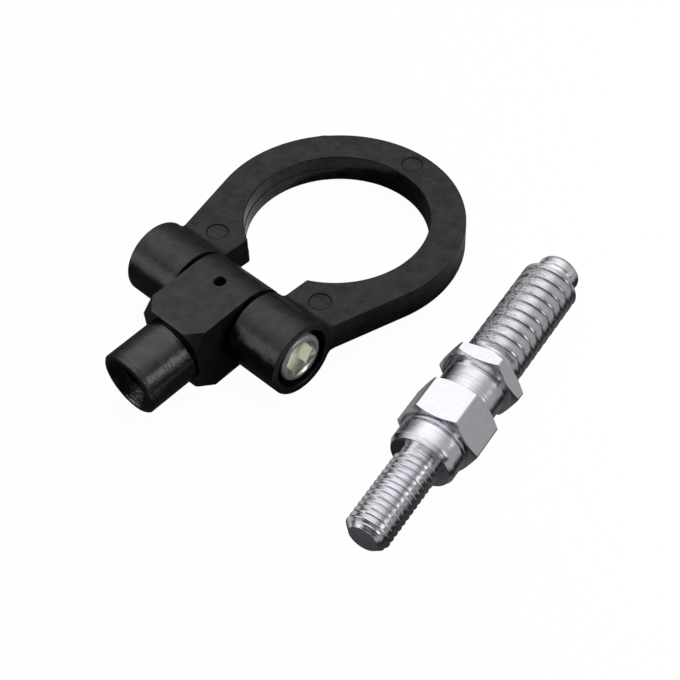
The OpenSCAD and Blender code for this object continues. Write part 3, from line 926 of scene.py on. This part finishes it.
def make_camera(lens):
    """The photograph's viewpoint: turned right of the socket, looking down, slightly rolled."""
    azimuth, elevation, roll = (math.radians(v) for v in (49.357, 49.543, -6.880))
    distance, seen_x, seen_y, focal = 423.87, 227.463, 306.078, 1604.87
    back = Vector((math.sin(azimuth) * math.cos(elevation), -math.cos(azimuth) * math.cos(elevation),
                   math.sin(elevation)))
    level = Vector((math.cos(azimuth), math.sin(azimuth), 0))
    up = back.cross(level)
    right = math.cos(roll) * level + math.sin(roll) * up
    upright = math.cos(roll) * up - math.sin(roll) * level
    across = (seen_x - 340) / focal * distance
    above = -(seen_y - 340) / focal * distance
    at = (back * distance - right * across - upright * above + HINGE) * MM
    data = bpy.data.cameras.new("camera")
    data.lens = lens
    data.sensor_width = 36
    data.sensor_fit = "HORIZONTAL"
    data.clip_start = 0.01
    data.clip_end = 10
    camera = bpy.data.objects.new("camera", data)
    turn = Matrix((right, upright, back)).transposed().to_4x4()
    camera.matrix_world = Matrix.Translation(at) @ turn
    bpy.context.scene.collection.objects.link(camera)
    bpy.context.scene.camera = camera


# ---- Operators, panel and registration ----


class TOWHOOK_OT_stage(bpy.types.Operator):
    """Make the floor, the lights and the camera"""

    bl_idname = "towhook.stage"
    bl_label = "Stage"

    def execute(self, context):
        sizes = context.scene.towhook_stage
        context.scene.view_settings.view_transform = "Standard"
        make_camera(sizes.lens)
        make_floor()
        make_world()
        aim = (0.03, 0.05, 0)
        make_light("soft_top", sizes.key_power, (-0.08, 0.33, 0.66), aim, (0.5, 0.5))
        make_light("soft_right", sizes.fill_power, (0.45, 0.25, 0.22), aim, (0.3, 0.3))
        return {"FINISHED"}


class TOWHOOK_OT_ring(bpy.types.Operator):
    """Make the cast ring with its two ears"""

    bl_idname = "towhook.ring"
    bl_label = "Tow ring"

    def execute(self, context):
        tow_ring_piece(context.scene.towhook_ring)
        return {"FINISHED"}


class TOWHOOK_OT_block(bpy.types.Operator):
    """Make the swivel block with its threaded tube"""

    bl_idname = "towhook.block"
    bl_label = "Swivel block"

    def execute(self, context):
        swivel_block_piece(context.scene.towhook_block)
        return {"FINISHED"}


class TOWHOOK_OT_bolt(bpy.types.Operator):
    """Make the pivot bolt"""

    bl_idname = "towhook.bolt"
    bl_label = "Pivot bolt"

    def execute(self, context):
        pivot_bolt_piece(context.scene.towhook_bolt)
        return {"FINISHED"}


class TOWHOOK_OT_stud(bpy.types.Operator):
    """Make the adapter stud"""

    bl_idname = "towhook.stud"
    bl_label = "Adapter stud"

    def execute(self, context):
        adapter_stud_piece(context.scene.towhook_stud)
        return {"FINISHED"}


class TOWHOOK_PT_panel(bpy.types.Panel):
    """Lists the pieces of the tow hook"""

    bl_label = "Tow Hook"
    bl_idname = "TOWHOOK_PT_panel"
    bl_space_type = "VIEW_3D"
    bl_region_type = "UI"
    bl_category = "Tow Hook"

    def draw(self, context):
        for operator in OPERATORS:
            self.layout.operator(operator.bl_idname)


GROUPS = {
    "towhook_ring": RingSizes,
    "towhook_block": BlockSizes,
    "towhook_bolt": BoltSizes,
    "towhook_stud": StudSizes,
    "towhook_stage": StageSizes,
}
OPERATORS = (TOWHOOK_OT_stage, TOWHOOK_OT_ring, TOWHOOK_OT_block, TOWHOOK_OT_bolt, TOWHOOK_OT_stud)


def register():
    for kind in (*GROUPS.values(), *OPERATORS, TOWHOOK_PT_panel):
        bpy.utils.register_class(kind)
    for name, group in GROUPS.items():
        setattr(bpy.types.Scene, name, PointerProperty(type=group))


def unregister():
    for name in GROUPS:
        delattr(bpy.types.Scene, name)
    for kind in (TOWHOOK_PT_panel, *reversed(OPERATORS), *reversed(GROUPS.values())):
        bpy.utils.unregister_class(kind)


def main():
    register()
    bpy.ops.towhook.stage()
    bpy.ops.towhook.ring()
    bpy.ops.towhook.block()
    bpy.ops.towhook.bolt()
    bpy.ops.towhook.stud()


if __name__ == "__main__":
    main()
